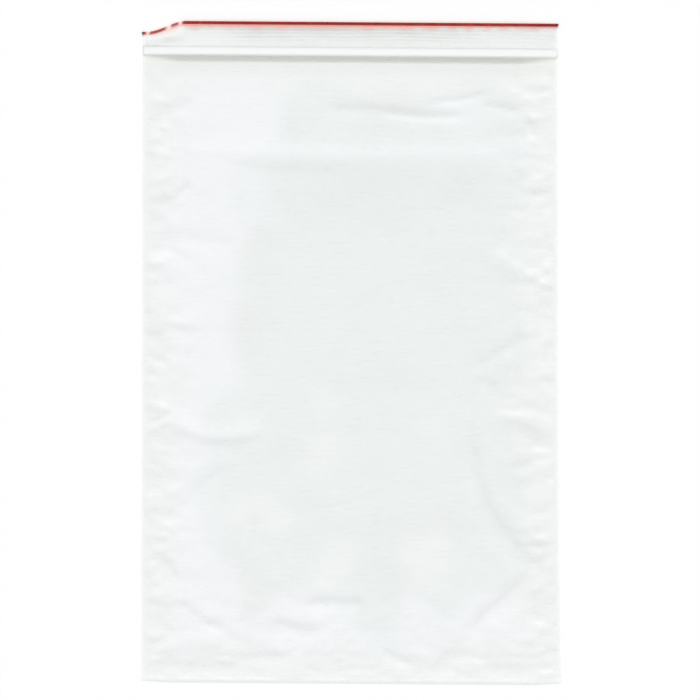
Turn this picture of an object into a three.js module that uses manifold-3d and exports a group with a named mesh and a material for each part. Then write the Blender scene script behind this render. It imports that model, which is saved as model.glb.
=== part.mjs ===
// Press-to-close bag of clear polyethylene film, empty and lying flat on its back with the zip shut.
// Millimetres, +Z up: X runs across the bag and Y runs from the folded bottom to the lips.
// The origin is under the middle of the bag, on the surface that it lies on.
// The film and both halves of the zip are one extrusion, folded at the bottom and welded at the sides.

import * as THREE from "three";
import { mergeVertices } from "three/addons/utils/BufferGeometryUtils.js";
import Module from "manifold-3d";

const wasm = await Module();
wasm.setup();

const { lerp, smoothstep } = THREE.MathUtils;

// Bag
const BAG_WIDTH = 100;
const POCKET_DEPTH = 151; // bottom fold to the lower edge of the zip
const LIP_HEIGHT = 6.2; // upper edge of the zip to the edge of the lips
const STRIPE_WIDTH = 0.8; // red edge of each lip
const FILM = 0.05; // thickness of one wall

// Side seams, cut and welded by a hot knife
const WELD_WIDTH = 1;
const WELD_TRIM = 1; // film past each seam that the knife takes off
const WELD_SQUEEZE = 0.3; // share of the height that is left where the seam is pressed

// Zip: a barbed tongue on the front wall, held by two hooked jaws on the back wall
const ZIP_WIDTH = 1.9; // outside of the jaws
const ZIP_DEPTH = 1.1; // between the inner faces of the walls
const JAW_HEIGHT = 0.85;
const JAW_WALL = 0.3;
const HOOK_REACH = 0.22; // how far each jaw hooks over the groove
const HOOK_DEPTH = 0.24;
const HOOK_LEAD = 0.1; // sloped lead-in on top of each hook
const TIP_WIDTH = 0.4;
const ZIP_PLAY = 0.09; // clearance all round the tongue

// How the film lies
const AIR_GAP = 0.25; // between the walls where the pocket is pressed flat
const LEAST_GAP = 0.12; // left under the deepest dent
const SWELL = 1.1; // rise of the front wall over the air left in the pocket
const FOLD_LIFT = 0.5; // between the walls at the springy bottom fold
const FOLD_EASE = 4; // over which the wall comes down from that fold
const FLANK = 1.6; // slope from the zip down to the pocket
const SHOULDER = 0.7; // slope from the zip down to the lips
const LIP_LIFT = 0.45; // between the two lips
const LIP_BOW = 0.3; // rise of the lips' edge off the surface
const SEAM_EASE = 6; // over which the wall rises from a side seam
const CURL_REACH = 11; // length of the curled corner of the lips, along the mouth
const CURL_ANGLE = 1.7; // radians that the lips turn up at that corner

// Dents in the front wall, from one point to the other, as shares of the pocket's width and depth;
// each has its depth at the middle and how far it reaches to either side
const DENTS = [
  { from: [0.78, 0.4], to: [0.81, 0.3], depth: 0.4, reach: 3.2 },
  { from: [0.81, 0.3], to: [0.86, 0.235], depth: 0.45, reach: 3.2 },
  { from: [0.86, 0.235], to: [0.94, 0.195], depth: 0.5, reach: 3.2 },
  { from: [0.92, 0.175], to: [0.855, 0.135], depth: 0.45, reach: 3.2 },
  { from: [0.855, 0.135], to: [0.77, 0.08], depth: 0.45, reach: 3.2 },
  { from: [0.58, 0.05], to: [0.66, 0.02], depth: 0.35, reach: 3 },
  { from: [0.69, 0.02], to: [0.78, 0.05], depth: 0.35, reach: 3 },
  { from: [0.4, 0.125], to: [0.54, 0.127], depth: 0.4, reach: 3.2 },
  { from: [0.31, 0.1], to: [0.43, 0.073], depth: 0.4, reach: 3.2 },
  { from: [0.01, 0.42], to: [0.15, 0.38], depth: 0.45, reach: 3.2 },
  { from: [0.15, 0.38], to: [0.4, 0.386], depth: 0.4, reach: 3.2 },
  { from: [0.18, 0.34], to: [0.04, 0.255], depth: 0.3, reach: 3.2 },
  { from: [0.02, 0.696], to: [0.245, 0.7], depth: 0.4, reach: 3.2 },
  { from: [0.02, 0.772], to: [0.125, 0.793], depth: 0.4, reach: 3 },
  { from: [0.14, 0.825], to: [0.98, 0.78], depth: 0.35, reach: 4.5 },
  { from: [0.55, 0.91], to: [0.82, 0.902], depth: 0.35, reach: 3.2 },
  { from: [0.81, 0.66], to: [0.985, 0.617], depth: 0.35, reach: 3.2 },
];

// How finely the curved film is faceted
const FOLD_SEGMENTS = 2;
const FOLD_ROWS = 2;
const POCKET_ROWS = 34;
const FLANK_ROWS = 4;
const SHOULDER_ROWS = 2;
const LIP_ROWS = 4;
const POCKET_STATIONS = 24;

// Places up the bag, counted from the bottom fold, and across it, counted from the middle
const BAG_HEIGHT = POCKET_DEPTH + ZIP_WIDTH + LIP_HEIGHT;
const FOLD_RADIUS = FILM + FOLD_LIFT / 2;
const ZIP_LOW = POCKET_DEPTH;
const ZIP_MIDDLE = ZIP_LOW + ZIP_WIDTH / 2;
const ZIP_HIGH = ZIP_LOW + ZIP_WIDTH;
const STRIPE_LOW = BAG_HEIGHT - STRIPE_WIDTH;
const BAG_EDGE = BAG_WIDTH / 2;
const FILM_EDGE = BAG_EDGE + WELD_TRIM;
const SEAM_EDGE = BAG_EDGE - WELD_WIDTH;

function evenly(from, to, count) {
  return Array.from({ length: count + 1 }, (_, step) => lerp(from, to, step / count));
}

const lipRows = [
  ...evenly(ZIP_HIGH, ZIP_HIGH + SHOULDER, SHOULDER_ROWS),
  ...evenly(ZIP_HIGH + SHOULDER, STRIPE_LOW, LIP_ROWS).slice(1),
];

// Rows of the front wall from the bottom fold to the stripe; the first row is the end of the fold itself
const rows = [
  ...evenly(FOLD_RADIUS, FOLD_RADIUS + FOLD_EASE, FOLD_ROWS).slice(1),
  ...evenly(FOLD_RADIUS + FOLD_EASE, ZIP_LOW - FLANK, POCKET_ROWS).slice(1),
  ...evenly(ZIP_LOW - FLANK, ZIP_LOW, FLANK_ROWS).slice(1),
  ...lipRows,
];

// Places across the film before it is cut to width, and the two ends of each seam
const filmStations = [-FILM_EDGE, ...evenly(-SEAM_EDGE, SEAM_EDGE, POCKET_STATIONS), FILM_EDGE];
const seamStations = [
  [-FILM_EDGE, -SEAM_EDGE],
  [SEAM_EDGE, FILM_EDGE],
];

const dents = DENTS.map(({ from, to, depth, reach }) => {
  const place = ([across, up]) => new THREE.Vector3((across - 0.5) * BAG_WIDTH, up * POCKET_DEPTH, 0);
  return { line: new THREE.Line3(place(from), place(to)), depth, reach };
});

// Height of the front wall's inner face over the back wall's, pressed flat, without the air in the pocket
function pressedLift(up) {
  const overFold = (FOLD_LIFT - AIR_GAP) * (1 - smoothstep(up, FOLD_RADIUS, FOLD_RADIUS + FOLD_EASE));
  const overZip = (ZIP_DEPTH - AIR_GAP) * smoothstep(up, ZIP_LOW - FLANK, ZIP_LOW);
  const overLips = (LIP_LIFT - ZIP_DEPTH) * (1 - Math.exp(-Math.max(up - ZIP_HIGH, 0) / SHOULDER));
  return AIR_GAP + overFold + overZip + overLips;
}

// What the air left in the pocket adds along the middle of the bag
function swell(up) {
  const share = THREE.MathUtils.clamp((up - FOLD_RADIUS) / (ZIP_LOW - FLANK - FOLD_RADIUS), 0, 1);
  return SWELL * Math.sin(share * Math.PI);
}

// The same height in the section that the bag is extruded with, and the faces of that section
const lift = (up) => pressedLift(up) + swell(up);
const bow = (up) => LIP_BOW * (Math.max(up - ZIP_HIGH, 0) / LIP_HEIGHT) ** 2;
const backOuter = (up) => bow(up);
const backMiddle = (up) => bow(up) + FILM / 2;
const backInner = (up) => bow(up) + FILM;
const frontInner = (up) => backInner(up) + lift(up);
const frontMiddle = (up) => frontInner(up) + FILM / 2;
const frontOuter = (up) => frontInner(up) + FILM;

function dentDepth(x, up) {
  const point = new THREE.Vector3(x, up, 0);
  const nearest = new THREE.Vector3();
  return dents.reduce((sum, { line, depth, reach }) => {
    const away = line.closestPointToPoint(point, true, nearest).distanceTo(point);
    return sum + depth * Math.exp(-((away / reach) ** 2));
  }, 0);
}

// Height of the same face as the bag lies: pressed down at the side seams, swollen in the middle and dented
function restingLift(x, up) {
  const inside = Math.max(SEAM_EDGE - Math.abs(x), 0);
  const fromSeam = smoothstep(inside, 0, SEAM_EASE);
  const fromFold = smoothstep(up, FOLD_RADIUS, FOLD_RADIUS + FOLD_EASE);
  const fromZip = smoothstep(ZIP_LOW - FLANK - up, 0, SEAM_EASE);
  const pressed = pressedLift(up) * lerp(WELD_SQUEEZE, 1, fromSeam);
  const dome = Math.sqrt(Math.sin((inside / SEAM_EDGE) * (Math.PI / 2)));
  const dented = pressed + swell(up) * dome - dentDepth(x, up) * fromSeam * fromFold * fromZip;
  return Math.max(dented, Math.min(pressed, LEAST_GAP));
}

// Takes a point of the extruded section to where it lies: the back wall stays flat, the front wall keeps
// its thickness and rides on the resting height, and the left corner of the lips rolls up
function lay(x, up, z) {
  const flat = lift(up);
  const over = z - backInner(up);
  const share = THREE.MathUtils.clamp(over / flat, 0, 1);
  const skin = Math.min(over, 0) + Math.max(over - flat, 0);
  const height = backInner(up) + share * restingLift(x, up) + skin;
  const overLips = Math.max(up - ZIP_HIGH, 0);
  const corner = 1 - smoothstep(Math.max(SEAM_EDGE + x, 0), 0, CURL_REACH);
  const turn = CURL_ANGLE * corner;
  if (overLips === 0 || turn === 0) {
    return new THREE.Vector3(x, up - BAG_HEIGHT / 2, height);
  }
  const radius = LIP_HEIGHT / turn;
  const angle = overLips / radius;
  const along = ZIP_HIGH + (radius - height) * Math.sin(angle);
  return new THREE.Vector3(x, along - BAG_HEIGHT / 2, radius - (radius - height) * Math.cos(angle));
}

// Leaves a geometry with its shared corners only
function bare(geometry) {
  geometry.deleteAttribute("normal");
  geometry.deleteAttribute("uv");
  return mergeVertices(geometry);
}

// Splits each quad of the swept walls along its shorter diagonal, so that both faces of the film crease alike
function creaseAlike(geometry) {
  const position = geometry.getAttribute("position");
  const index = geometry.getIndex();
  const corner = (place) => new THREE.Vector3().fromBufferAttribute(position, index.getX(place));
  const [, walls] = geometry.groups;
  for (let place = walls.start; place < walls.start + walls.count; place += 6) {
    const drawn = corner(place + 1).distanceTo(corner(place + 5));
    const other = corner(place).distanceTo(corner(place + 4));
    if (other < drawn) {
      index.setX(place + 2, index.getX(place + 4));
      index.setX(place + 3, index.getX(place));
    }
  }
}

// Extrudes an outline, drawn up the bag and out of its plane, across the given stations and lays it down
function sweep(outline, stations) {
  const steps = stations.length - 1;
  const flat = new THREE.ExtrudeGeometry(outline, {
    depth: steps,
    steps,
    bevelEnabled: false,
    curveSegments: FOLD_SEGMENTS,
  });
  const geometry = bare(flat);
  const position = geometry.getAttribute("position");
  for (let index = 0; index < position.count; index += 1) {
    const station = stations[Math.round(position.getZ(index))];
    const laid = lay(station, position.getX(index), position.getY(index));
    position.setXYZ(index, laid.x, laid.y, laid.z);
  }
  creaseAlike(geometry);
  return geometry;
}

function toSolid(geometry) {
  const vertProperties = new Float32Array(geometry.getAttribute("position").array);
  const triVerts = new Uint32Array(geometry.getIndex().array);
  return new wasm.Manifold(new wasm.Mesh({ numProp: 3, vertProperties, triVerts }));
}

function toGeometry(solid) {
  const mesh = solid.getMesh();
  const geometry = new THREE.BufferGeometry();
  geometry.setAttribute("position", new THREE.BufferAttribute(mesh.vertProperties, 3));
  geometry.setIndex(new THREE.BufferAttribute(mesh.triVerts, 1));
  return geometry;
}

// Welds the pieces of film together and cuts them to the bag's width
function weld(walls, cores) {
  const knives = new THREE.BoxGeometry(BAG_WIDTH, 2 * BAG_HEIGHT, 2 * BAG_HEIGHT);
  const pieces = [...walls, ...cores].map(toSolid);
  return toGeometry(pieces.reduce((whole, piece) => whole.add(piece)).intersect(toSolid(bare(knives))));
}

// One jaw of the groove on the back wall: side is -1 next to the pocket and 1 next to the lips
function jawPoints(side) {
  const outer = ZIP_MIDDLE + (side * ZIP_WIDTH) / 2;
  const inner = outer - side * JAW_WALL;
  const hook = inner - side * HOOK_REACH;
  return [
    [outer, FILM],
    [outer, FILM + JAW_HEIGHT],
    [inner, FILM + JAW_HEIGHT],
    [hook, FILM + JAW_HEIGHT - HOOK_LEAD],
    [hook, FILM + JAW_HEIGHT - HOOK_DEPTH],
    [inner, FILM + JAW_HEIGHT - HOOK_DEPTH],
    [inner, FILM],
  ];
}

// One side of the barbed tongue on the front wall, from its root to its tip
function tonguePoints(side) {
  const groove = ZIP_WIDTH / 2 - JAW_WALL;
  const stem = groove - HOOK_REACH - ZIP_PLAY;
  const barb = groove - ZIP_PLAY;
  const barbTop = FILM + JAW_HEIGHT - HOOK_DEPTH - ZIP_PLAY;
  return [
    [ZIP_MIDDLE + side * stem, FILM + ZIP_DEPTH],
    [ZIP_MIDDLE + side * stem, barbTop],
    [ZIP_MIDDLE + side * barb, barbTop],
    [ZIP_MIDDLE + (side * TIP_WIDTH) / 2, FILM + ZIP_PLAY],
  ];
}

// Section of the film: down the back, round the fold, up the front, and back along the inner faces
function filmOutline() {
  const outline = new THREE.Shape();
  const line = (points) => points.forEach(([up, z]) => outline.lineTo(up, z));
  const inner = [...rows].reverse().map((up) => [up, frontInner(up)]);
  outline.moveTo(STRIPE_LOW, backInner(STRIPE_LOW));
  line([...lipRows].reverse().map((up) => [up, backOuter(up)]));
  outline.absarc(FOLD_RADIUS, FOLD_RADIUS, FOLD_RADIUS, -Math.PI / 2, Math.PI / 2, true);
  line(rows.map((up) => [up, frontOuter(up)]));
  line(inner.filter(([up]) => up >= ZIP_HIGH));
  line(tonguePoints(1));
  line(tonguePoints(-1).reverse());
  line(inner.filter(([up]) => up <= ZIP_LOW));
  outline.absarc(FOLD_RADIUS, FOLD_RADIUS, FOLD_RADIUS - FILM, Math.PI / 2, (3 * Math.PI) / 2, false);
  line(jawPoints(-1));
  line(jawPoints(1).reverse());
  line(lipRows.slice(1, -1).map((up) => [up, backInner(up)]));
  return outline;
}

// Fused core of a side seam, which fills the bag from the middle of one wall to the middle of the other
function seamOutline() {
  const outline = new THREE.Shape();
  outline.moveTo(STRIPE_LOW, frontMiddle(STRIPE_LOW));
  [...lipRows].reverse().forEach((up) => outline.lineTo(up, backMiddle(up)));
  outline.absarc(FOLD_RADIUS, FOLD_RADIUS, FOLD_RADIUS - FILM / 2, -Math.PI / 2, Math.PI / 2, true);
  const bends = rows.filter((up) => up <= FOLD_RADIUS + FOLD_EASE || up >= ZIP_LOW - FLANK);
  bends.slice(0, -1).forEach((up) => outline.lineTo(up, frontMiddle(up)));
  return outline;
}

// Band along the edge of the lips, between two faces of the section
function stripeOutline(under, over) {
  const outline = new THREE.Shape();
  outline.moveTo(STRIPE_LOW, under(STRIPE_LOW));
  outline.lineTo(BAG_HEIGHT, under(BAG_HEIGHT));
  outline.lineTo(BAG_HEIGHT, over(BAG_HEIGHT));
  outline.lineTo(STRIPE_LOW, over(STRIPE_LOW));
  return outline;
}

const clearFilm = new THREE.MeshStandardMaterial({
  color: 0xeef2f1,
  roughness: 0.3,
  metalness: 0,
  transparent: true,
  opacity: 0.55,
});
const redFilm = new THREE.MeshStandardMaterial({ color: 0xa3271f, roughness: 0.4, metalness: 0 });

const seams = (outline) => seamStations.map((stations) => sweep(outline, stations));

const filmWalls = [sweep(filmOutline(), filmStations)];
const filmBag = new THREE.Mesh(weld(filmWalls, seams(seamOutline())), clearFilm);
filmBag.name = "film_bag";

const lipEdges = [stripeOutline(backOuter, backInner), stripeOutline(frontInner, frontOuter)];
const stripeWalls = lipEdges.map((outline) => sweep(outline, filmStations));
const stripeCores = seams(stripeOutline(backMiddle, frontMiddle));
const mouthStripe = new THREE.Mesh(weld(stripeWalls, stripeCores), redFilm);
mouthStripe.name = "mouth_stripe";

const bag = new THREE.Group();
bag.add(filmBag, mouthStripe);

export default bag;
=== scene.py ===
# Clear press-to-close bag, empty and lying on its back with the zip shut, seen from straight above.

import math
import random

import bmesh
import bpy
import numpy as np
from mathutils import Matrix, Vector, noise


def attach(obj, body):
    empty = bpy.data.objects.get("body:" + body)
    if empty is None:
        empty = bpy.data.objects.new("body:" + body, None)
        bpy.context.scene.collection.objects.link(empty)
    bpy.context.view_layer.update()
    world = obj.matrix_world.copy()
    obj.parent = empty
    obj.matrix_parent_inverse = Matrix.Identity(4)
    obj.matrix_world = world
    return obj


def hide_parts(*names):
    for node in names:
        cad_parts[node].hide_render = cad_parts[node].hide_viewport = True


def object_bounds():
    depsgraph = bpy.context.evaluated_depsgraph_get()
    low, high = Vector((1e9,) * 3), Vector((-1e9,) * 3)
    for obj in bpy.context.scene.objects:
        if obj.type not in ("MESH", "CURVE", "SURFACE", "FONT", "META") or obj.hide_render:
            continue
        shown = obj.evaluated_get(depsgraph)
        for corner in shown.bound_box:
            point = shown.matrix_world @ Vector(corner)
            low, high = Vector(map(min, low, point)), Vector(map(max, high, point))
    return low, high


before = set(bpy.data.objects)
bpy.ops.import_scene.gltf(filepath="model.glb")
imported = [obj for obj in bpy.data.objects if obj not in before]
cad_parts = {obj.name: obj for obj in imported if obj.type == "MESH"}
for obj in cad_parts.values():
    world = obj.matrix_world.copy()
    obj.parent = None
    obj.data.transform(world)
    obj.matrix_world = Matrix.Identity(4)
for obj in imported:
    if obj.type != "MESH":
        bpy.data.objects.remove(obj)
solid_low, solid_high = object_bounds()
scene = bpy.context.scene

# Film of the bag: one sheet of blown polyethylene, 0.05 mm thick, folded at the bottom into two walls
# that end in the two lips. It keeps the creases of a bag that was packed flat, and its walls pucker
# where the hot knife welded the sides. Lengths here are millimetres, counted up from the bottom fold.
MM = 0.001
BAG_WIDTH = (solid_high.x - solid_low.x) / MM
BAG_HEIGHT = (solid_high.y - solid_low.y) / MM
FILM = 0.05
LIP_HEIGHT = 6.2
ZIP_WIDTH = 1.9
ZIP_DEPTH = 1.1
WELD_WIDTH = 1.0
WELD_SQUEEZE = 0.2
WELD_EDGE = 0.15

# Air between the walls, and how the front wall comes off the fold, the welds and the zip
AIR_GAP = 0.25
LEAST_GAP = 0.12
SWELL = 1.1
SWELL_START = 2.4
DOME_POWER = 0.4
FOLD_LIFT = 0.42
FOLD_EASE = 2.6
SEAM_EASE = 6.0
ZIP_EASE = 9.0
FLANK = 1.9
SHOULDER = 2.2

# Lips: height over the table, the ridge beside the zip, and fine ribs that wander along the lips
LIP_LIFT = 0.14
LIP_BOW = 0.03
LIP_RIDGE = 0.13
RIDGE_WIDTH = 0.22
RIDGE_STEP = 1.5
RIB_PITCH = 0.85
RIB_HEIGHT = 0.032
RIB_WANDER = 3.0
RIB_WANDER_ACROSS = 22.0
RIB_WANDER_UP = 4.0
STRIPE_WIDTH = 0.8

# Buckled left corner of the lips: how far along the lips it reaches, how far the edge drops, where it
# starts above the zip, and how much the film between humps up
BUCKLE_REACH = 9.5
BUCKLE_DROP = 2.7
BUCKLE_START = 0.6
BUCKLE_HUMP = 0.7

# Outline: the zip runs a little crooked, the bag widens to the bottom and most at its right corner,
# and the welded edges waver
CROOKED = 0.0075
FLARE = 0.008
CORNER_FLARE = 0.55
CORNER_REACH = 60.0
EDGE_WAVER = 0.07
EDGE_WAVE = 2.4
EDGE_DRIFT = 7.0
EDGE_ONLY = 8

ZIP_HIGH = BAG_HEIGHT - LIP_HEIGHT
ZIP_LOW = ZIP_HIGH - ZIP_WIDTH
STRIPE_LOW = BAG_HEIGHT - STRIPE_WIDTH
FOLD_RADIUS = FILM + FOLD_LIFT / 2
BAG_EDGE = BAG_WIDTH / 2
SEAM_EDGE = BAG_EDGE - WELD_WIDTH
FOLD_FACE = FOLD_RADIUS - FILM / 2

# Creases of the front wall: points across and up the bag, depth, and how far the dent spreads above
# and below the line. A crease with a negative depth is a ridge.
CREASES = [
    (
        [(29.0, 60.5), (30.3, 49.9), (32.4, 43.1), (36.6, 36.8), (42.1, 30.6), (45.5, 28.8)],
        1.35,
        0.65,
        1.8,
    ),
    ([(40.9, 33.2), (45.5, 33.2), (50.5, 34.2)], 1.0, 0.4, 0.8),
    ([(42.1, 30.2), (46.6, 28.3)], 0.6, 0.4, 0.8),
    ([(42.4, 26.0), (36.6, 20.9), (31.7, 16.8), (28.0, 12.4)], 1.35, 0.65, 1.7),
    ([(41.2, 25.2), (36.6, 20.9), (31.7, 16.8), (28.6, 13.2)], 0.5, 0.35, 0.6),
    ([(44.3, 21.7), (49.6, 24.4)], 0.6, 0.4, 0.8),
    ([(42.9, 17.5), (46.6, 15.9)], 0.5, 0.4, 0.9),
    ([(46.4, 7.4), (50.6, 8.2)], 0.7, 0.4, 1.2),
    ([(28.6, 7.6), (23.3, 6.4), (19.0, 2.8)], 0.8, 0.45, 0.9),
    ([(7.8, 7.7), (15.3, 4.2)], 0.7, 0.45, 0.9),
    ([(32.0, 3.7), (41.8, 3.7)], 0.5, 0.4, 0.9),
    ([(-11.0, 19.0), (-4.0, 19.4), (4.0, 19.0)], 1.0, 0.45, 1.4),
    ([(-19.2, 14.4), (-12.5, 12.9), (-7.2, 11.8)], 1.1, 0.5, 1.4),
    ([(-26.5, 5.9), (-15.7, 6.2)], 0.7, 0.45, 0.9),
    ([(-48.5, 4.4), (-36.7, 3.6), (-25.6, 3.9)], 0.7, 0.4, 0.9),
    ([(-40.4, 18.7), (-36.4, 15.6)], 0.6, 0.45, 0.9),
    ([(-36.4, 14.6), (-30.4, 13.0)], 0.6, 0.6, 1.2),
    ([(-23.8, 40.0), (-20.0, 31.0)], 0.5, 1.2, 1.6),
    ([(-48.2, 64.8), (-42.0, 61.6), (-35.8, 59.0), (-29.0, 58.6), (-20.0, 60.2)], -1.15, 1.9, 0.85),
    ([(-47.6, 65.6), (-43.5, 65.2)], -0.5, 0.9, 0.5),
    ([(-30.3, 51.9), (-38.2, 43.3), (-45.0, 38.4)], 0.8, 1.0, 1.4),
    ([(-44.7, 29.3), (-41.1, 24.5)], 0.5, 0.6, 1.0),
    ([(-47.0, 105.2), (-40.1, 106.6), (-33.0, 105.8), (-26.5, 104.6)], 0.55, 0.9, 1.5),
    ([(-38.6, 120.2), (-42.3, 116.1), (-46.4, 115.0)], 0.75, 0.5, 1.0),
    ([(-49.6, 134.6), (-44.0, 138.0), (-37.6, 140.2)], 0.7, 0.6, 1.2),
    ([(-49.4, 132.6), (-43.6, 133.2)], -0.6, 0.9, 0.5),
    ([(-49.0, 87.6), (-42.0, 86.2), (-36.0, 85.6)], -0.55, 1.1, 0.6),
    ([(-49.3, 83.2), (-44.5, 83.8)], 0.5, 0.4, 0.9),
    ([(-49.6, 73.5), (-46.0, 74.2)], 0.5, 0.4, 0.8),
    ([(8.0, 137.6), (18.0, 136.8), (28.4, 136.9)], 1.0, 0.45, 0.9),
    ([(-6.0, 138.6), (4.0, 138.3), (12.0, 137.6)], 0.5, 0.5, 1.2),
    ([(17.8, 139.6), (28.8, 141.2), (35.0, 142.8)], 0.6, 0.4, 0.7),
    ([(31.6, 139.8), (40.7, 138.2)], 0.6, 0.4, 0.8),
    ([(42.2, 136.4), (45.6, 131.8)], 0.5, 0.5, 0.9),
    ([(-41.0, 127.0), (-20.0, 126.6), (5.0, 126.4), (28.0, 126.8), (44.0, 126.4)], -0.8, 1.9, 4.6),
    ([(-31.0, 124.8), (-17.0, 122.9), (0.0, 122.8)], 0.5, 0.9, 1.8),
    ([(43.0, 118.1), (48.6, 118.2)], 0.9, 0.45, 0.8),
    ([(33.0, 102.8), (38.5, 101.2), (44.0, 97.8), (49.0, 95.4)], -0.85, 1.0, 1.7),
    ([(28.0, 75.0), (33.5, 78.0), (40.5, 82.6), (48.4, 84.0)], 0.7, 0.75, 1.5),
    ([(30.3, 73.2), (36.1, 70.3)], 0.5, 0.9, 1.4),
    ([(35.0, 64.8), (42.0, 63.4), (49.0, 60.0)], -0.7, 1.2, 0.7),
    ([(42.8, 57.9), (48.6, 57.7)], 0.6, 0.5, 0.9),
    ([(38.6, 52.4), (44.2, 52.8)], 0.5, 0.4, 0.8),
]

# Sharp creases also get a grey line painted into the film, as painted shade along the crease
SHARP_SPREAD = 0.7
SHARP_CREASES = [points for points, depth, above, below in CREASES if above < SHARP_SPREAD]

# Puckers of the side welds: short dents and ridges that run in from the edge every few millimetres
PUCKER_START = 1.5
PUCKER_PAST = 1.0
PUCKER_STEP = (1.4, 4.2)
PUCKER_REACH = (2.0, 8.5)
PUCKER_DEPTH = (0.25, 0.6)
PUCKER_SLANT = 0.6
PUCKER_SPREAD = (0.35, 0.8)
pucker_dice = random.Random(4)
for side in (-1, 1):
    pucker_up = PUCKER_START
    while pucker_up < ZIP_LOW - FLANK - PUCKER_STEP[1]:
        reach = pucker_dice.uniform(*PUCKER_REACH)
        rise = reach * pucker_dice.uniform(-PUCKER_SLANT, PUCKER_SLANT)
        outer_end = (side * (BAG_EDGE + PUCKER_PAST), pucker_up)
        inner_end = (side * (BAG_EDGE - reach), pucker_up + rise)
        depth = pucker_dice.uniform(*PUCKER_DEPTH) * pucker_dice.choice((-1, 1))
        spread_above = pucker_dice.uniform(*PUCKER_SPREAD)
        spread_below = pucker_dice.uniform(*PUCKER_SPREAD)
        CREASES.append(([outer_end, inner_end], depth, spread_above, spread_below))
        pucker_up += pucker_dice.uniform(*PUCKER_STEP)

# A crease fades out towards its ends, from just past them. Both are shares of its length.
CREASE_FADE = 0.2
CREASE_STUB = -0.05

# Crumpling: how far the film folds up and down, the length of its facets, and where it is worst
CRUMPLE = 1.9
CRUMPLE_MEAN = 0.12
CRUMPLE_LEAST = 0.14
CRUMPLE_ACROSS = 10.0
CRUMPLE_UP = 6.0
CRUMPLE_SEAM = 20.0
CRUMPLE_FOLD = 30.0
CRUMPLE_BY_FOLD = 0.7
COARSE_SHARE = 0.6

# Slack of the film: how much it waves, and the length of the waves across and up the bag
SLACK = 0.16
SLACK_ACROSS = 34.0
SLACK_UP = 13.0

# The lips flutter a little towards the right
FLUTTER = 0.06
FLUTTER_LENGTH = 4.1
FLUTTER_FROM = 14.0
FLUTTER_TO = 24.0


def ease(value, start, end):
    share = np.clip((value - start) / (end - start), 0, 1)
    return share * share * (3 - 2 * share)


def pressed_lift(up):
    over_fold = (FOLD_LIFT - AIR_GAP) * (1 - ease(up, FOLD_RADIUS, FOLD_RADIUS + FOLD_EASE))
    over_lips = (LIP_LIFT - ZIP_DEPTH) * (1 - np.exp(-np.maximum(up - ZIP_HIGH, 0) / SHOULDER))
    over_zip = (ZIP_DEPTH - AIR_GAP) * ease(up, ZIP_LOW - FLANK, ZIP_LOW)
    ridge = LIP_RIDGE * np.exp(-(((up - ZIP_HIGH) / RIDGE_WIDTH - RIDGE_STEP) ** 2))
    return AIR_GAP + over_fold + over_zip + over_lips + ridge


def seam_rise(across, up):
    inside = np.maximum(SEAM_EDGE - np.abs(across), 0)
    reach = SEAM_EASE + (ZIP_EASE - SEAM_EASE) * ease(up, ZIP_LOW - 2 * FLANK, ZIP_LOW)
    fused = WELD_EDGE + (1 - WELD_EDGE) * ease(BAG_EDGE - np.abs(across), 0, WELD_WIDTH)
    return WELD_SQUEEZE * fused + (1 - WELD_SQUEEZE) * ease(inside, 0, reach)


def wander(across, up, length_across, length_up, layer):
    """Smooth random waves of the given lengths across and up the bag. Each layer is another pattern."""
    spots = zip((across / length_across).ravel(), (up / length_up).ravel())
    return np.array([noise.noise(Vector((x, y, layer))) for x, y in spots]).reshape(across.shape)


def crumple(across, up):
    by_seam = 1 - ease(SEAM_EDGE - np.abs(across), 0, CRUMPLE_SEAM)
    by_fold = CRUMPLE_BY_FOLD - CRUMPLE_BY_FOLD * ease(up, CRUMPLE_FOLD / 3, CRUMPLE_FOLD)
    share = CRUMPLE_LEAST + (1 - CRUMPLE_LEAST) * np.maximum(by_seam, by_fold)
    coarse = np.abs(wander(across, up, CRUMPLE_ACROSS, CRUMPLE_UP, 5.0))
    fine = np.abs(wander(across, up, CRUMPLE_ACROSS / 2, CRUMPLE_UP / 2, 6.0))
    facets = COARSE_SHARE * coarse + (1 - COARSE_SHARE) * fine
    return CRUMPLE * share * (facets - CRUMPLE_MEAN)


def crease_dent(across, up, points, depth, spread_above, spread_below):
    nearest = np.full(across.shape, np.inf)
    place = np.zeros(across.shape)
    above = np.zeros(across.shape)
    lengths = [math.dist(a, b) for a, b in zip(points, points[1:])]
    walked = 0
    for (from_x, from_up), (to_x, to_up), length in zip(points, points[1:], lengths):
        along_x, along_up = (to_x - from_x) / length, (to_up - from_up) / length
        along = np.clip((across - from_x) * along_x + (up - from_up) * along_up, 0, length)
        off_x = across - from_x - along * along_x
        off_up = up - from_up - along * along_up
        away = np.hypot(off_x, off_up)
        closer = away < nearest
        nearest = np.where(closer, away, nearest)
        place = np.where(closer, (walked + along) / sum(lengths), place)
        above = np.where(closer, off_up, above)
        walked += length
    width = spread_below + (spread_above - spread_below) * ease(above, -spread_below, spread_above)
    fade = ease(place, CREASE_STUB, CREASE_FADE) * ease(1 - place, CREASE_STUB, CREASE_FADE)
    return depth * fade / np.cosh(nearest / width)


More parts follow.
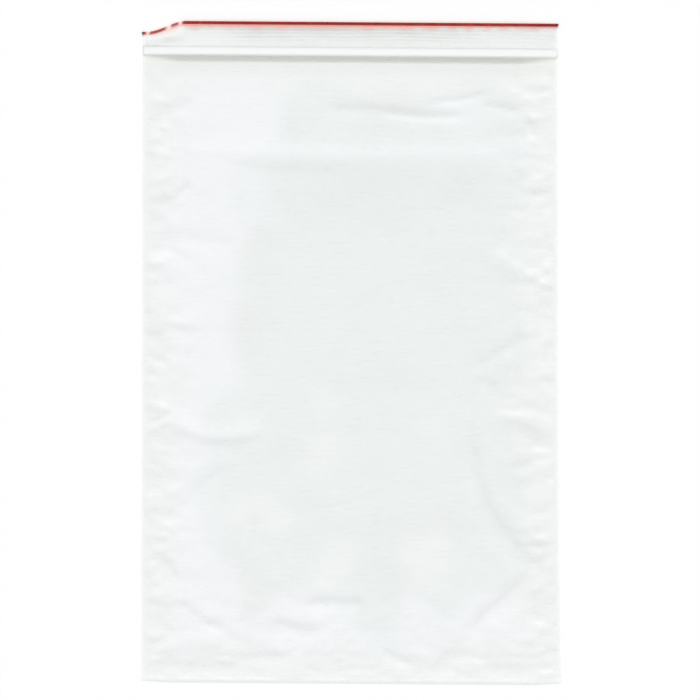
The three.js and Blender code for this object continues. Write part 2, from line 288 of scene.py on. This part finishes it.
def resting_lift(across, up):
    inside = np.maximum(SEAM_EDGE - np.abs(across), 0)
    pocket = ease(up, FOLD_RADIUS, FOLD_RADIUS + FOLD_EASE / 2)
    pocket *= ease(ZIP_LOW - FLANK - up, 0, SEAM_EASE)
    climb = np.clip((up - SWELL_START) / (ZIP_LOW - FLANK - SWELL_START), 0, 1)
    dome = np.sin(inside / SEAM_EDGE * math.pi / 2) ** DOME_POWER
    pressed = pressed_lift(up) * seam_rise(across, up)
    dents = sum(crease_dent(across, up, *crease) for crease in CREASES)
    dents *= ease(BAG_EDGE - np.abs(across), WELD_WIDTH / 5, 2 * WELD_WIDTH)
    slack = SLACK * wander(across, up, SLACK_ACROSS, SLACK_UP, 3.0) * ease(inside, 0, SEAM_EASE)
    folds = crumple(across, up) * ease(inside, 0, SEAM_EASE / 3)
    swollen = pressed + SWELL * np.sqrt(np.sin(climb * math.pi)) * dome
    lift = swollen + pocket * (slack + folds - dents)
    return np.maximum(lift, np.minimum(pressed, LEAST_GAP))


def lip_ribs(across, up):
    ribbed = ease(up, ZIP_HIGH + RIB_PITCH, ZIP_HIGH + 2 * RIB_PITCH)
    turn = (up - ZIP_HIGH) * 2 * math.pi / RIB_PITCH
    wandering = RIB_WANDER * wander(across, up, RIB_WANDER_ACROSS, RIB_WANDER_UP, 1.0)
    return RIB_HEIGHT * ribbed * np.sin(turn + wandering)


def lip_flutter(across, up):
    share = np.maximum(up - ZIP_HIGH, 0) / LIP_HEIGHT
    room = ease(across, FLUTTER_FROM, FLUTTER_TO) * ease(SEAM_EDGE - across, 0, SEAM_EASE)
    return FLUTTER * share**2 * room * (1 + np.sin(across * 2 * math.pi / FLUTTER_LENGTH))


def lay(across, up, height):
    """Lays film at a height over the table, with the left corner of the lips buckled."""
    over_lips = np.maximum(up - ZIP_HIGH, 0)
    drop = BUCKLE_DROP * (1 - ease(np.maximum(SEAM_EDGE + across, 0), 0, BUCKLE_REACH))
    buckle_length = LIP_HEIGHT - STRIPE_WIDTH - BUCKLE_START
    along = np.clip((over_lips - BUCKLE_START) / buckle_length, 0, 1)
    hump = BUCKLE_HUMP * np.sqrt(drop * (buckle_length - drop)) * np.sin(math.pi * along) ** 2
    laid_up = up - drop * ease(along, 0, 1)
    laid_height = height + hump + LIP_BOW * (over_lips / LIP_HEIGHT) ** 2 + lip_flutter(across, up)
    wave = np.sin(up / EDGE_WAVE + 2 * np.sin(up / EDGE_DRIFT) + across)
    waver = EDGE_WAVER * np.abs(across / BAG_EDGE) ** EDGE_ONLY * wave
    by_corner = np.maximum(across / BAG_EDGE, 0) ** 3 * np.maximum(1 - up / CORNER_REACH, 0) ** 2
    pulled = CORNER_FLARE * by_corner
    laid_x = across * (1 + FLARE * (1 - up / BAG_HEIGHT)) + pulled + waver
    laid_y = laid_up - BAG_HEIGHT / 2 - CROOKED * across
    return np.stack([laid_x, laid_y, laid_height], axis=-1) * MM


# Rows of the sheet, from the edge of the back lip round the fold to the edge of the front lip. Each
# stretch gives its start and its end up the bag, and how many rows it has.
COLUMNS = 160
COLUMN_BUNCH = 0.6
BACK_ROWS = [
    (STRIPE_LOW, ZIP_HIGH, 12),
    (ZIP_HIGH, ZIP_LOW, 2),
    (ZIP_LOW, FOLD_EASE, 10),
    (FOLD_EASE, FOLD_RADIUS, 3),
]
FOLD_ROWS = 6
POCKET_ROWS_FROM = 8.0
FRONT_ROWS = [
    (FOLD_RADIUS, POCKET_ROWS_FROM, 16),
    (POCKET_ROWS_FROM, ZIP_LOW - 2 * FLANK, 188),
    (ZIP_LOW - 2 * FLANK, ZIP_LOW, 12),
    (ZIP_LOW, ZIP_HIGH - RIDGE_WIDTH, 5),
    (ZIP_HIGH - RIDGE_WIDTH, ZIP_HIGH + 4 * RIDGE_WIDTH, 10),
    (ZIP_HIGH + 4 * RIDGE_WIDTH, STRIPE_LOW, 36),
]


def rows_between(stretches):
    runs = [np.linspace(start, end, count, endpoint=False) for start, end, count in stretches]
    return np.concatenate(runs)


bunched = np.linspace(-1, 1, COLUMNS + 1) * math.pi / 2 * COLUMN_BUNCH
columns = BAG_EDGE * np.sin(bunched) / math.sin(math.pi / 2 * COLUMN_BUNCH)
back_up = rows_between(BACK_ROWS)
fold_turn = np.linspace(0, math.pi, FOLD_ROWS, endpoint=False)
front_up = np.append(rows_between(FRONT_ROWS), STRIPE_LOW)


def front_face(across, up):
    return FILM * 1.5 + resting_lift(across, up) + lip_ribs(across, up)


across, up = np.meshgrid(columns, back_up)
back_wall = lay(across, up, np.full(across.shape, FILM / 2))
across, turn = np.meshgrid(columns, fold_turn)
fold_top = front_face(across, np.full(across.shape, FOLD_RADIUS))
fold_height = FILM / 2 + (fold_top - FILM / 2) * (1 - np.cos(turn)) / 2
bottom_fold = lay(across, FOLD_RADIUS - FOLD_FACE * np.sin(turn), fold_height)
across, up = np.meshgrid(columns, front_up)
front_wall = lay(across, up, front_face(across, up))
sheet_rows = np.concatenate([back_wall, bottom_fold, front_wall])

# Haze: the front wall stands off the table and looks milkier than the back wall. The band over the zip
# is thicker and almost white. The welded edges have melted clear, the buckled corner is stretched clear,
# and the film is made clearest just above the fold as a painted highlight of the lit strip there. The
# lips are made hazier as painted shade, less so towards both ends.
FRONT_HAZE = 0.2
BACK_HAZE = 0.08
LIP_HAZE = 0.32
LIP_SHADE = 22.0
LIP_SHADE_END = 1.6 * LIP_SHADE
LIP_PALE_LEFT = 0.85
LIP_PALE_RIGHT = 0.55
MILK_HAZE = 0.96
MILK_BLUR = 0.2
MILK_FADE = 0.3
WELD_CLEAR = 0.85
WELD_REACH = 0.2
WELD_BLUR = (-0.5, 0.3)
WELD_WAVE = 2.6
CORNER_CLEAR = 0.8
# Painted highlight above the fold: how much the haze clears, and over what height
FOLD_CLEAR = 0.6
FOLD_SEEN = 1.9
FOLD_HAZE = 0.06
FOLD_LINE = (0.1, 0.4)
row_up = np.concatenate([back_up, FOLD_RADIUS - FOLD_FACE * np.sin(fold_turn), front_up])
row_front = np.concatenate([0 * back_up, fold_turn / math.pi, 1 + 0 * front_up])
across, up = np.meshgrid(columns, row_up)
front = np.tile(row_front[:, None], (1, len(columns)))
inside = BAG_EDGE - np.abs(across)
on_lip = ease(up, ZIP_HIGH, STRIPE_LOW - LIP_HEIGHT / 4)
buckled = 1 - ease(SEAM_EDGE + across, 0, BUCKLE_REACH)
weld_reach = WELD_REACH * (1 + wander(across * 0, up, 1.0, WELD_WAVE, 2.0))
welded = ease(weld_reach - inside, *WELD_BLUR)
milky = front * ease(up, ZIP_LOW - MILK_BLUR, ZIP_LOW + MILK_BLUR) * ease(ZIP_HIGH - up, 0, MILK_FADE)
# Painted shade of the lips: hazier film on them, fading out towards both ends
pale_left = LIP_PALE_LEFT * ease(-across, LIP_SHADE, LIP_SHADE_END)
pale_right = LIP_PALE_RIGHT * ease(across, LIP_SHADE, LIP_SHADE_END)
lip_shade = on_lip * (1 - pale_left - pale_right)
front_haze = FRONT_HAZE + (LIP_HAZE - FRONT_HAZE) * lip_shade
sheet_haze = BACK_HAZE + (front_haze - BACK_HAZE) * front
sheet_haze *= 1 - WELD_CLEAR * welded
# Painted highlight: the film is cleared just above the fold, over the lit strip there
fold_highlight = ease(up, FOLD_SEEN / 4, FOLD_SEEN / 2) * (1 - ease(up, FOLD_SEEN / 2, FOLD_SEEN))
sheet_haze *= 1 - FOLD_CLEAR * fold_highlight
sheet_haze += FOLD_HAZE * (1 - ease(up, *FOLD_LINE))
sheet_haze *= 1 - CORNER_CLEAR * np.sqrt(buckled) * ease(up, ZIP_HIGH, ZIP_HIGH + LIP_HEIGHT / 2)
sheet_haze += (MILK_HAZE - sheet_haze) * milky

# Tint: greenish where the walls lie together, lilac where air lifts the front wall round the pocket,
# and neutral along the creased rim. LILAC_LEFT gives points up the bag, and how far across it the lilac
# reaches in from the left. Light and shade are painted into the tint too: shade below the long ridge,
# shade just below the zip, a lighter olive tint over the zip's cast shadow, a lilac highlight on the lit
# side of the ridge, grey shade along sharp creases and greyer streaked shade on the lips.
GREEN_FILM = (0.897, 0.945, 0.932)
SMOKE_AND_SHADE_FILM = (0.87, 0.905, 0.885)
LILAC_AND_HIGHLIGHT_FILM = (0.962, 0.98, 0.998)
RIM_FILM = (0.948, 0.972, 0.964)
LIP_SHADE_FILM = (0.83, 0.845, 0.82)
SHADOW_BAND_FILM = (0.96, 0.985, 0.935)
CREASE_SHADE_FILM = (0.72, 0.75, 0.74)
MILK_FILM = (0.965, 0.98, 0.975)
LILAC_LEFT = [(0, -22), (50, -31), (75, -27), (124, -25), (131, -17)]
LILAC_LOW = 17.0
LILAC_HIGH = 143.0
LILAC_BLUR = 5.0
LILAC_PATCH = 13.0
LILAC_ROAM = 14.0
RIM_REACH = 8.0
RIM_ROAM = 7.0
SMOKE_PATCH = 17.0
SMOKE_RANGE = (-0.1, 0.5)
SMOKE_SHARE = 0.9
# Painted shade below the long ridge across the upper bag, on its side away from the lamp: where it sits
# up the bag, and how far it reaches up and across
RIDGE_SHADE_UP = 118.0
RIDGE_SHADE_REACH = 9.0
RIDGE_SHADE_ACROSS = 26.0
# Share of painted shade just below the zip's cast shadow
BELOW_ZIP_SHADE = 0.8
PALE_PATCH = 12.0
PALE_RANGE = (0.1, 0.45)
PALE_HIGH = 75.0
# Painted highlight on the side of the long ridge that faces the lamp: where it sits up the bag, its half
# width and its share
HIGHLIGHT_UP = 127.6
HIGHLIGHT_HALF = 1.8
HIGHLIGHT_SHARE = 0.7
STREAK_LENGTH = 9.0
STREAK_WIDTH = 0.9
STREAK_RANGE = (-0.3, 0.4)
STREAK_SHARE = 0.45
# Painted shade along sharp creases: its strength and how far it spreads from the line
CREASE_SHADE = 0.3
CREASE_SHADE_WIDTH = 0.35


def tinted(tint, share, colour):
    return tint + share[..., None] * (np.array(colour) - tint)


roam = wander(across, up, LILAC_PATCH, LILAC_PATCH, 8.0)
rims = [np.interp(up, *zip(*LILAC_LEFT)) - across, LILAC_LOW - up, up - LILAC_HIGH]
lilac = ease(np.max(rims, axis=0) + LILAC_ROAM * roam, -LILAC_BLUR, LILAC_BLUR)
rim = ease(RIM_REACH - np.minimum(inside, up) + RIM_ROAM * roam, -RIM_REACH / 2, RIM_REACH / 2)
patches = ease(wander(across, up, SMOKE_PATCH, SMOKE_PATCH / 2, 9.0), *SMOKE_RANGE)
# Painted shade: a darker cloud below the long ridge. The smoky colour serves both the random patches and
# this shade.
ridge_shade = np.exp(-(((up - RIDGE_SHADE_UP) / RIDGE_SHADE_REACH) ** 2) - (across / RIDGE_SHADE_ACROSS) ** 2)
smoke_and_shade = np.maximum(SMOKE_SHARE * patches, ridge_shade)
# Painted shade on the film just below the zip's cast shadow
below_zip_shade = ease(up, ZIP_LOW - 3 * FLANK, ZIP_LOW - 2 * FLANK)
# A lighter olive tint painted over the zip's cast shadow to lighten it, carried on over the zip and lips
zip_shadow_tint = ease(up, ZIP_LOW - 1.2 * FLANK, ZIP_LOW - FLANK)
pale = ease(wander(across, up, PALE_PATCH, PALE_PATCH, 11.0), *PALE_RANGE)
pale *= ease(PALE_HIGH - up, 0, PALE_PATCH)
# Painted highlight: a lilac band along the lit side of the long ridge
ridge_highlight = HIGHLIGHT_SHARE * ease(HIGHLIGHT_HALF - np.abs(up - HIGHLIGHT_UP), -HIGHLIGHT_HALF / 2, HIGHLIGHT_HALF / 2)
streaks = ease(wander(across, up, STREAK_LENGTH, STREAK_WIDTH, 12.0), *STREAK_RANGE)
# Painted shade: a grey line along each sharp crease of the front wall
crease_shade = sum(crease_dent(across, up, points, CREASE_SHADE, CREASE_SHADE_WIDTH, CREASE_SHADE_WIDTH) for points in SHARP_CREASES)
# Blended in order: random pale and smoky patches with painted shade below the ridge, lilac with a
# painted highlight on the ridge, the rim, painted crease shade, painted shade below the zip, a lighter
# tint painted over the zip's shadow, the zip band, painted lip shade, and the white over the zip.
sheet_tint = np.full(across.shape + (3,), GREEN_FILM)
sheet_tint = tinted(sheet_tint, pale, RIM_FILM)
sheet_tint = tinted(sheet_tint, smoke_and_shade, SMOKE_AND_SHADE_FILM)
sheet_tint = tinted(sheet_tint, np.maximum(lilac, ridge_highlight), LILAC_AND_HIGHLIGHT_FILM)
sheet_tint = tinted(sheet_tint, rim, RIM_FILM)
sheet_tint = tinted(sheet_tint, np.minimum(crease_shade, 1) * front, CREASE_SHADE_FILM)
sheet_tint = tinted(sheet_tint, BELOW_ZIP_SHADE * below_zip_shade, SMOKE_AND_SHADE_FILM)
sheet_tint = tinted(sheet_tint, zip_shadow_tint, SHADOW_BAND_FILM)
sheet_tint = tinted(sheet_tint, ease(up, ZIP_LOW, ZIP_HIGH), RIM_FILM)
# Painted shade of the lips: greyer film in streaks along them
streaked_shade = 1 - STREAK_SHARE + STREAK_SHARE * streaks
sheet_tint = tinted(sheet_tint, lip_shade * streaked_shade * front, LIP_SHADE_FILM)
sheet_tint = tinted(sheet_tint, milky, MILK_FILM)

# Blush: pink below the edge of the front lip, partly red pigment spread down from the edge and partly
# painted pink shadow of light through the red edge, in scallops towards the right where the lip flutters
PINK_AND_SHADOW_FILM = (1.0, 0.48, 0.42)
BLUSH_REACH = 1.4
BLUSH_HAZE = 0.25
BLUSH_LENGTH = 3.0
BLUSH_RAGGED = 0.6
BLUSH_SCALLOP = 0.5
BLUSH_BUCKLED = 0.5
scallop = np.abs(np.sin(across * math.pi / FLUTTER_LENGTH)) * ease(across, FLUTTER_FROM, FLUTTER_TO)
ragged = BLUSH_RAGGED * wander(across, up * 0, BLUSH_LENGTH, 1.0, 4.0)
blush_reach = BLUSH_REACH * (1 + ragged - BLUSH_SCALLOP * scallop)
# Pink below the red edge: partly pigment, partly painted pink shadow of the red edge
blush_and_shadow = front * ease(up, STRIPE_LOW - blush_reach, STRIPE_LOW) * (1 - BLUSH_BUCKLED * buckled)
sheet_tint = tinted(sheet_tint, blush_and_shadow, PINK_AND_SHADOW_FILM)
sheet_haze += BLUSH_HAZE * blush_and_shadow

film_mesh = bmesh.new()
bmesh.ops.create_grid(film_mesh, x_segments=COLUMNS, y_segments=len(sheet_rows) - 1, size=1)
haze_layer = film_mesh.verts.layers.float.new("haze")
tint_layer = film_mesh.verts.layers.float_color.new("tint")
for corner in film_mesh.verts:
    column = round((corner.co.x + 1) / 2 * COLUMNS)
    row = round((corner.co.y + 1) / 2 * (len(sheet_rows) - 1))
    corner.co = sheet_rows[row][column]
    corner[haze_layer] = sheet_haze[row][column]
    corner[tint_layer] = (*sheet_tint[row][column], 1)
bmesh.ops.recalc_face_normals(film_mesh, faces=film_mesh.faces)


def add_piece(name, mesh, material, node):
    for face in mesh.faces:
        face.smooth = True
    data = bpy.data.meshes.new(name)
    mesh.to_mesh(data)
    mesh.free()
    data.materials.append(material)
    piece = bpy.data.objects.new(name, data)
    scene.collection.objects.link(piece)
    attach(piece, "root")
    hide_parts(node)
    return piece


def new_material(name):
    material = bpy.data.materials.new(name)
    material.use_nodes = True
    return material, material.node_tree, material.node_tree.nodes["Principled BSDF"]


def add_node(tree, kind, **settings):
    node = tree.nodes.new(kind)
    for name, value in settings.items():
        setattr(node, name, value)
    return node


def feed(tree, socket, source):
    if isinstance(source, bpy.types.NodeSocket):
        tree.links.new(source, socket)
    else:
        socket.default_value = source


def maths(tree, operation, first, second):
    node = add_node(tree, "ShaderNodeMath", operation=operation)
    feed(tree, node.inputs[0], first)
    feed(tree, node.inputs[1], second)
    return node.outputs[0]


def remap(tree, value, low, high, to_low, to_high):
    node = add_node(tree, "ShaderNodeMapRange", interpolation_type="SMOOTHSTEP")
    for socket, number in zip(node.inputs, (value, low, high, to_low, to_high)):
        feed(tree, socket, number)
    return node.outputs[0]


def object_place(tree):
    return add_node(tree, "ShaderNodeTexCoord").outputs["Object"]


def die_marks(tree, length, scale):
    """Fine short lines along the zip, the way that the film ran out of the die."""
    mapping = add_node(tree, "ShaderNodeMapping")
    tree.links.new(object_place(tree), mapping.inputs["Vector"])
    mapping.inputs["Scale"].default_value = (1 / length, 1, 1 / length)
    node = add_node(tree, "ShaderNodeTexNoise")
    tree.links.new(mapping.outputs[0], node.inputs["Vector"])
    node.inputs["Scale"].default_value = scale
    node.inputs["Detail"].default_value = 1
    return node.outputs["Fac"]


def attribute(tree, name, output="Fac"):
    return add_node(tree, "ShaderNodeAttribute", attribute_name=name).outputs[output]


# Die lines: how long they are for their width, how fine, the span of the noise that draws them, and the
# peaks of it that show as haze
LINE_LENGTH = 5
LINE_SCALE = 1200
LINE_SPAN = (0.3, 0.7)
LINE_PEAKS = (0.56, 0.75)
DIE_HAZE = 0.024
FILM_ROUGHNESS = (0.36, 0.44)
clear_film, film_tree, film_shader = new_material("clear_film")
feed(film_tree, film_shader.inputs["Base Color"], attribute(film_tree, "tint", "Color"))
film_lines = die_marks(film_tree, LINE_LENGTH, LINE_SCALE)
line_haze = remap(film_tree, film_lines, *LINE_PEAKS, 0, DIE_HAZE)
film_haze = maths(film_tree, "ADD", attribute(film_tree, "haze"), line_haze)
feed(film_tree, film_shader.inputs["Alpha"], film_haze)
film_roughness = remap(film_tree, film_lines, *LINE_SPAN, *FILM_ROUGHNESS)
feed(film_tree, film_shader.inputs["Roughness"], film_roughness)

film = add_piece("film", film_mesh, clear_film, "film_bag")
wall = film.modifiers.new("film thickness", "SOLIDIFY")
wall.thickness = FILM * MM
wall.offset = 0

# Zip: a barbed tongue on the front wall, pressed between two hooked jaws on the back wall. Both are
# thicker polyethylene, extruded in one with the film, and squeezed flat where the sides are welded.
JAW_HEIGHT = 0.85
JAW_WALL = 0.3
HOOK_REACH = 0.22
HOOK_DEPTH = 0.24
HOOK_LEAD = 0.1
TIP_WIDTH = 0.4
ZIP_PLAY = 0.09
ROOT_SINK = 0.02
ZIP_STATIONS = 60
ZIP_MIDDLE = ZIP_LOW + ZIP_WIDTH / 2


def jaw_section(side):
    outer = ZIP_MIDDLE + side * ZIP_WIDTH / 2
    inner = outer - side * JAW_WALL
    hook = inner - side * HOOK_REACH
    return [
        (outer, -ROOT_SINK),
        (outer, JAW_HEIGHT),
        (inner, JAW_HEIGHT),
        (hook, JAW_HEIGHT - HOOK_LEAD),
        (hook, JAW_HEIGHT - HOOK_DEPTH),
        (inner, JAW_HEIGHT - HOOK_DEPTH),
        (inner, -ROOT_SINK),
    ]


def tongue_section():
    groove = ZIP_WIDTH / 2 - JAW_WALL
    stem = groove - HOOK_REACH - ZIP_PLAY
    barb = groove - ZIP_PLAY
    barb_top = JAW_HEIGHT - HOOK_DEPTH - ZIP_PLAY
    root = (stem, ZIP_DEPTH + ROOT_SINK)
    tip = (TIP_WIDTH / 2, ZIP_PLAY)
    right = [root, (stem, barb_top), (barb, barb_top), tip]
    left = [(-away, height) for away, height in reversed(right)]
    return [(ZIP_MIDDLE + away, height) for away, height in right + left]


def extruded_run(rings):
    """Draws the first ring as a face and extrudes it from ring to ring."""
    run = bmesh.new()
    face = run.faces.new([run.verts.new(point) for point in rings[0]])
    for ring in rings[1:]:
        grown = bmesh.ops.extrude_face_region(run, geom=[face])["geom"]
        face = next(item for item in grown if isinstance(item, bmesh.types.BMFace))
        for corner, point in zip(face.verts, ring):
            corner.co = point
    bmesh.ops.recalc_face_normals(run, faces=run.faces)
    return run


def zip_rail(section):
    stations = np.linspace(-SEAM_EDGE, SEAM_EDGE, ZIP_STATIONS + 1)
    section_up, section_height = np.array(section).T
    across, up = np.meshgrid(stations, section_up, indexing="ij")
    return extruded_run(lay(across, up, FILM + section_height * seam_rise(across, up)))


ZIP_COLOUR = (0.95, 0.965, 0.965, 1)
ZIP_HAZE = (0.15, 0.25)
ZIP_ROUGHNESS = (0.25, 0.4)
ZIP_LINE_LENGTH = 20
ZIP_LINE_SCALE = 3000
zip_plastic, zip_tree, zip_shader = new_material("zip_plastic")
zip_shader.inputs["Base Color"].default_value = ZIP_COLOUR
zip_lines = die_marks(zip_tree, ZIP_LINE_LENGTH, ZIP_LINE_SCALE)
zip_roughness = remap(zip_tree, zip_lines, *LINE_SPAN, *ZIP_ROUGHNESS)
feed(zip_tree, zip_shader.inputs["Roughness"], zip_roughness)
feed(zip_tree, zip_shader.inputs["Alpha"], remap(zip_tree, zip_lines, *LINE_SPAN, *ZIP_HAZE))

for name, section in (
    ("zip_jaw_pocket_side", jaw_section(-1)),
    ("zip_jaw_lip_side", jaw_section(1)),
    ("zip_tongue", tongue_section()),
):
    add_piece(name, zip_rail(section), zip_plastic, "film_bag")

# Red edge of the lips: the same film, pigmented red along its last 0.8 mm, on both lips. Light comes
# through it pink. At the buckled corner the pigment is worn into dashes, and the hot knife left a dark
# drop at each end.
STRIPE_ROWS = 4
RED_DEEP = (0.5, 0.06, 0.035, 1)
RED_PALE = (0.62, 0.1, 0.07, 1)
RED_GLOW = (0.72, 0.3, 0.265, 1)
RED_THIN = (1, 0.99, 0.985, 1)
RED_BURNT = (0.09, 0.02, 0.016, 1)
RED_BODY = 0.28
WORN_BODY = 0.02
DROP_SIZE = 0.28
RED_ROUGHNESS = 0.35
RED_PATCH_SCALE = 350
RED_PATCH_SPAN = (0.35, 0.7)

# Worn places: middle across the bag, half length, and how much of the pigment is gone
WORN = [
    (-36.0, 0.35, 0.6),
    (-40.8, 0.6, 1.0),
    (-43.7, 0.8, 1.0),
    (-46.4, 2.0, 0.2),
    (-48.7, 0.55, 1.0),
]
WORN_BLUR = 0.3

# The pigment thins out towards the film, and half as much towards the edge
STRIPE_FADE = 0.9
FADE_REACH = 0.7 * STRIPE_WIDTH


def blend_colours(tree, share, first, second):
    node = add_node(tree, "ShaderNodeMix", data_type="RGBA")
    colours = [socket for socket in node.inputs if socket.type == "RGBA"]
    feed(tree, node.inputs[0], share)
    feed(tree, colours[0], first)
    feed(tree, colours[1], second)
    return next(socket for socket in node.outputs if socket.type == "RGBA")


red_film, red_tree, red_shader = new_material("red_film")
red_patches = add_node(red_tree, "ShaderNodeTexNoise")
red_tree.links.new(object_place(red_tree), red_patches.inputs["Vector"])
red_patches.inputs["Scale"].default_value = RED_PATCH_SCALE
red_share = remap(red_tree, red_patches.outputs["Fac"], *RED_PATCH_SPAN, 0, 1)
melted = attribute(red_tree, "melted")
red_colour = blend_colours(red_tree, red_share, RED_DEEP, RED_PALE)
feed(red_tree, red_shader.inputs["Base Color"], blend_colours(red_tree, melted, red_colour, RED_BURNT))
red_shader.inputs["Roughness"].default_value = RED_ROUGHNESS
red_glow = add_node(red_tree, "ShaderNodeBsdfTransparent")
worn = attribute(red_tree, "worn")
feed(red_tree, red_glow.inputs["Color"], blend_colours(red_tree, worn, RED_GLOW, RED_THIN))
red_mix = add_node(red_tree, "ShaderNodeMixShader")
red_body = maths(red_tree, "MAXIMUM", remap(red_tree, worn, 0, 1, RED_BODY, WORN_BODY), melted)
feed(red_tree, red_mix.inputs[0], red_body)
red_tree.links.new(red_glow.outputs[0], red_mix.inputs[1])
red_tree.links.new(red_shader.outputs[0], red_mix.inputs[2])
red_tree.links.new(red_mix.outputs[0], red_tree.nodes["Material Output"].inputs["Surface"])

stripe_up = np.linspace(STRIPE_LOW, BAG_HEIGHT, STRIPE_ROWS + 1)
across, up = np.meshgrid(columns, stripe_up)
worn_places = []
for middle, half, share in WORN:
    worn_places.append(share * ease(half - np.abs(across - middle), -WORN_BLUR, WORN_BLUR))
worn_places.append(STRIPE_FADE * (1 - ease(up, STRIPE_LOW, STRIPE_LOW + FADE_REACH)))
worn_places.append(STRIPE_FADE / 2 * ease(up, BAG_HEIGHT - STRIPE_WIDTH / 2, BAG_HEIGHT))
worn_front = np.max(worn_places, axis=0)
worn_back = np.maximum(worn_front, ease(-across, SEAM_EDGE - BUCKLE_REACH, BAG_EDGE - BUCKLE_REACH))
for name, height, stripe_worn in (
    ("red_edge_front", front_face(across, up), worn_front),
    ("red_edge_back", np.full(across.shape, FILM / 2), worn_back),
):
    rows = lay(across, up, height)
    stripe = bmesh.new()
    bmesh.ops.create_grid(stripe, x_segments=COLUMNS, y_segments=STRIPE_ROWS, size=1)
    worn_layer = stripe.verts.layers.float.new("worn")
    for corner in stripe.verts:
        column = round((corner.co.x + 1) / 2 * COLUMNS)
        row = round((corner.co.y + 1) / 2 * STRIPE_ROWS)
        corner.co = rows[row][column]
        corner[worn_layer] = stripe_worn[row][column]
    edge = add_piece(name, stripe, red_film, "mouth_stripe")
    thick = edge.modifiers.new("film thickness", "SOLIDIFY")
    thick.thickness = FILM * MM
    thick.offset = 0

drops = bmesh.new()
melted_layer = drops.verts.layers.float.new("melted")
for end in (0, -1):
    spot = Vector(lay(columns[end], BAG_HEIGHT - DROP_SIZE, 0.0))
    spot.z = DROP_SIZE * MM
    place = Matrix.Translation(spot)
    bmesh.ops.create_icosphere(drops, subdivisions=2, radius=DROP_SIZE * MM, matrix=place)
for corner in drops.verts:
    corner[melted_layer] = 1
add_piece("red_edge_drops", drops, red_film, "mouth_stripe")

# Table that the bag lies on: a plain white sheet, wide enough to fill the picture from any side.
TABLE_REACH = 4.0
TABLE_GAP = 0.0001
TABLE_WHITE = (0.997, 0.997, 0.997, 1)
table_mesh = bmesh.new()
bmesh.ops.create_grid(table_mesh, x_segments=1, y_segments=1, size=TABLE_REACH)
bmesh.ops.translate(table_mesh, verts=table_mesh.verts, vec=(0, 0, -TABLE_GAP))
table_data = bpy.data.meshes.new("table")
table_mesh.to_mesh(table_data)
table_mesh.free()
table_white, _, table_shader = new_material("table_white")
table_shader.inputs["Base Color"].default_value = TABLE_WHITE
table_shader.inputs["Roughness"].default_value = 1
table_shader.inputs["Specular IOR Level"].default_value = 0
table_data.materials.append(table_white)
table = bpy.data.objects.new("table", table_data)
scene.collection.objects.link(table)

# Light: an even white studio, with one soft lamp from beyond the mouth of the bag that shades the
# creases. Light passes many walls of clear film, so the rays may cross more of them than usual.
STUDIO = 0.71
LAMP_LEVEL = 0.29
LAMP_HEIGHT = math.radians(39)
LAMP_TURN = math.radians(6)
LAMP_SPREAD = math.radians(10)
WALLS_CROSSED = 32
world = bpy.data.worlds.new("studio")
world.use_nodes = True
world_tree = world.node_tree
world_tree.nodes["Background"].inputs["Color"].default_value = (1, 1, 1, 1)
rays = add_node(world_tree, "ShaderNodeLightPath")
seen = maths(world_tree, "MAXIMUM", rays.outputs["Is Camera Ray"], rays.outputs["Is Glossy Ray"])
seen = maths(world_tree, "MAXIMUM", seen, rays.outputs["Is Transmission Ray"])
level = maths(world_tree, "MULTIPLY_ADD", seen, 1 - STUDIO)
level.node.inputs[2].default_value = STUDIO
feed(world_tree, world_tree.nodes["Background"].inputs["Strength"], level)
scene.world = world
lamp = bpy.data.lights.new("lamp", "SUN")
lamp.energy = LAMP_LEVEL * math.pi / math.sin(LAMP_HEIGHT)
lamp.angle = LAMP_SPREAD
lamp_object = bpy.data.objects.new("lamp", lamp)
lamp_object.rotation_euler = (LAMP_HEIGHT - math.pi / 2, 0, -LAMP_TURN)
scene.collection.objects.link(lamp_object)
scene.cycles.transparent_max_bounces = WALLS_CROSSED

# Camera: straight above the bag, with a long lens, framed as in the photograph.
VIEW_WIDTH = 168.9
VIEW_RISE = 0.45
CAMERA_HEIGHT = 1500.0
camera = bpy.data.cameras.new("camera")
camera.lens = camera.sensor_width * CAMERA_HEIGHT / VIEW_WIDTH
camera_object = bpy.data.objects.new("camera", camera)
camera_object.location = Vector((0, VIEW_RISE, CAMERA_HEIGHT)) * MM
scene.collection.objects.link(camera_object)
scene.camera = camera_object
scene.view_settings.view_transform = "Standard"
